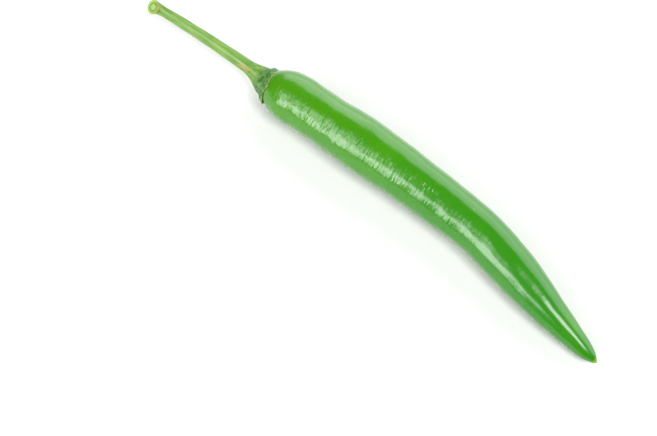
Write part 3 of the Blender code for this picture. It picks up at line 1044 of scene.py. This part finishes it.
def make_stalk():
    """The stalk: ribbed, flared and cut off square, and bent onto its line."""
    mesh = turned(stalk_profile, STALK_CUTS, STALK_SIDES)
    lean = math.tan(math.radians(CUT_LEAN))
    lean_towards = math.radians(CUT_LEAN_TOWARDS)
    crest_highlight = mesh.verts.layers.float.new("crest_highlight")
    for v in mesh.verts:
        at = v.co.x
        angle = around(v)
        radius = math.hypot(v.co.y, v.co.z)
        if radius == 0.0:
            continue
        out = Vector((0.0, v.co.y, v.co.z)) / radius
        flared = smooth_step(stalk_length - FLARE_ZONE[0], stalk_length - FLARE_ZONE[1], at)
        leaning = smooth_step(stalk_length - LEAN_ZONE[0], stalk_length - LEAN_ZONE[1], at)
        inwards = min(radius / radius_at(stalk_line, at), 1.0)
        v.co += out * (stalk_relief(at, angle) + CUT_FLARE * flared) * inwards
        # The rib share is kept for the paint, which turns it into a painted highlight on the
        # ribs.
        v[crest_highlight] = rib_share(angle, at)
        off = v.co.y * math.cos(lean_towards) + v.co.z * math.sin(lean_towards)
        v.co.x -= off * lean * leaning
    remember_growth(mesh)
    bend_onto(mesh, stalk_line)
    return finished(mesh, "chilli_stem", stalk_tissue(), crease_angle=50)


stalk = make_stalk()
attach(stalk, "root")
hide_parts("stem")

# %% [markdown]
# ## The table it lies on
#
# A plain pale sheet of card keeps the eye on the chilli. It could curve up behind like a
# studio sweep, but from above a flat one fills the picture. It lies a hair below the
# chilli, so that the two surfaces don't fight for the same place.

# %% The floor
FLOOR_SIZE = 1.8  # metres
FLOOR_DROP = 0.02 * MM
CARD_GRAINS = 900.0  # to the metre; the card's own fibres are too fine to show


def matt_white_card():
    """Matt white card: almost no gloss and a faint grain."""
    material, tree, surface = new_surface("matt_white_card")
    place = add_node(tree, "TexCoord").outputs["Object"]
    inputs = {"Vector": place, "Scale": CARD_GRAINS}
    grain = add_node(tree, "TexNoise", inputs).outputs[0]
    tone = painted(tree, "#dedede", (grain, "#e2e2e1"))
    tree.links.new(tone, surface.inputs["Base Color"])
    surface.inputs["Roughness"].default_value = 0.9
    surface.inputs["Specular IOR Level"].default_value = 0.1
    return material


def make_floor():
    """One large square under the object."""
    mesh = bmesh.new()
    bmesh.ops.create_grid(mesh, x_segments=4, y_segments=4, size=FLOOR_SIZE / 2)
    bmesh.ops.translate(mesh, verts=mesh.verts[:], vec=(0.0, 0.0, -FLOOR_DROP))
    return finished(mesh, "floor", matt_white_card(), crease_angle=30)


floor = make_floor()

# %% [markdown]
# ## Studio light
#
# Five soft boxes light the chilli, as for a catalogue. Point lamps would do for the
# shadows, but a waxy skin mirrors its lights, so their shapes matter. A wide box stands
# behind and lays a broad pale reflection along the far flank. One in front draws the
# bright line along the near flank, and a weaker one, higher and further round, widens that
# line towards the calyx. A small one puts a light on the tip, and one stands high beyond the
# tip's end and brightens the top. All are hidden from the camera, but the skin mirrors them.

# %% Soft boxes
# Each has a name, its width and height in metres, its radiance, its azimuth and elevation
# in degrees, and its distance in metres.
SOFT_BOXES = (
    ("back_box", 2.2, 0.74, 2.7, 0.0, 26.0, 0.8),
    ("front_box", 0.30, 0.40, 9.4, 197.0, 25.0, 0.75),
    ("shoulder_box", 0.28, 0.36, 4.6, 214.0, 50.0, 0.75),
    ("tip_box", 0.20, 0.20, 6.0, 176.0, 36.0, 0.75),
    ("top_box", 0.30, 0.34, 12.5, 98.0, 63.0, 0.8),
)


def soft_box(name, width, height, radiance, azimuth, elevation, distance):
    """An area light aimed at the origin. Its azimuth turns from +Y towards +X."""
    light = bpy.data.lights.new(name, "AREA")
    light.shape = "RECTANGLE"
    light.size = width
    light.size_y = height
    light.energy = radiance * math.pi * width * height
    holder = bpy.data.objects.new(name, light)
    turn = math.radians(azimuth)
    rise = math.radians(elevation)
    level = math.cos(rise)
    towards = Vector((math.sin(turn) * level, math.cos(turn) * level, math.sin(rise)))
    holder.location = towards * distance
    holder.rotation_euler = towards.to_track_quat("Z", "Y").to_euler()
    holder.visible_camera = False
    bpy.context.scene.collection.objects.link(holder)
    return holder


for box in SOFT_BOXES:
    holder = soft_box(*box)
    print(holder.name, "gives", round(holder.data.energy, 2), "watts")

# %% [markdown]
# ## The room around
#
# Light that comes from elsewhere, off walls and a ceiling, fills the shadows. Walls could
# be built, but a world background does the same. A glossy skin mirrors less of this room
# than it lights matt things, as in a dim studio, and the camera sees it as pale as the card.

# %% The world background
ROOM = 0.22  # what the room adds to the light on matt things
MIRRORED_ROOM = 0.05  # what a glossy skin mirrors of it
SEEN_ROOM = "#f4f4f4"


def make_room():
    """A dim white room for the light that comes from elsewhere, pale where it is seen."""
    room = bpy.data.worlds.new("room")
    room.use_nodes = True
    tree = room.node_tree
    tree.nodes.clear()
    path = add_node(tree, "LightPath").outputs
    inputs = {0: path["Is Glossy Ray"], 3: ROOM, 4: MIRRORED_ROOM}
    strength = add_node(tree, "MapRange", inputs).outputs[0]
    inputs = {"Color": linear("#ffffff"), "Strength": strength}
    lit = add_node(tree, "Background", inputs).outputs[0]
    inputs = {"Color": linear(SEEN_ROOM), "Strength": 1.0}
    seen = add_node(tree, "Background", inputs).outputs[0]
    inputs = {0: path["Is Camera Ray"], 1: lit, 2: seen}
    either = add_node(tree, "MixShader", inputs).outputs[0]
    add_node(tree, "OutputWorld", {0: either})
    bpy.context.scene.world = room
    print("the world has", len(tree.nodes), "nodes")


make_room()
bpy.context.scene.view_settings.view_transform = "Standard"

# %% [markdown]
# ## The camera
#
# It looks down on the chilli from the front, a little towards its tip, so that the pod
# runs from the upper left of the picture to the lower right. A wide lens from close by
# would make the near end look swollen, so it has a long one and stands well back.

# %% Camera
CAMERA_AZIMUTH = 42.5  # degrees from -Y towards +X
CAMERA_ELEVATION = 65.0
CAMERA_DISTANCE = 0.4809
LENS = 85.0  # millimetres, as is the sensor
SENSOR_WIDTH = 36.0
AIM_OFFSET = Vector((2.7, -25.5, -0.7)) * MM  # of the aim from the chilli's middle

eye = bpy.data.cameras.new("camera")
eye.lens = LENS
eye.sensor_width = SENSOR_WIDTH
camera = bpy.data.objects.new("camera", eye)
turn = math.radians(CAMERA_AZIMUTH)
rise = math.radians(CAMERA_ELEVATION)
level = math.cos(rise)
back = Vector((math.sin(turn) * level, -math.cos(turn) * level, math.sin(rise)))
camera.location = (cad_low + cad_high) / 2 + AIM_OFFSET + back * CAMERA_DISTANCE
camera.rotation_euler = back.to_track_quat("Z", "Y").to_euler()
bpy.context.scene.collection.objects.link(camera)
bpy.context.scene.camera = camera
print("the camera stands", [round(side, 3) for side in camera.location], "m from the origin")
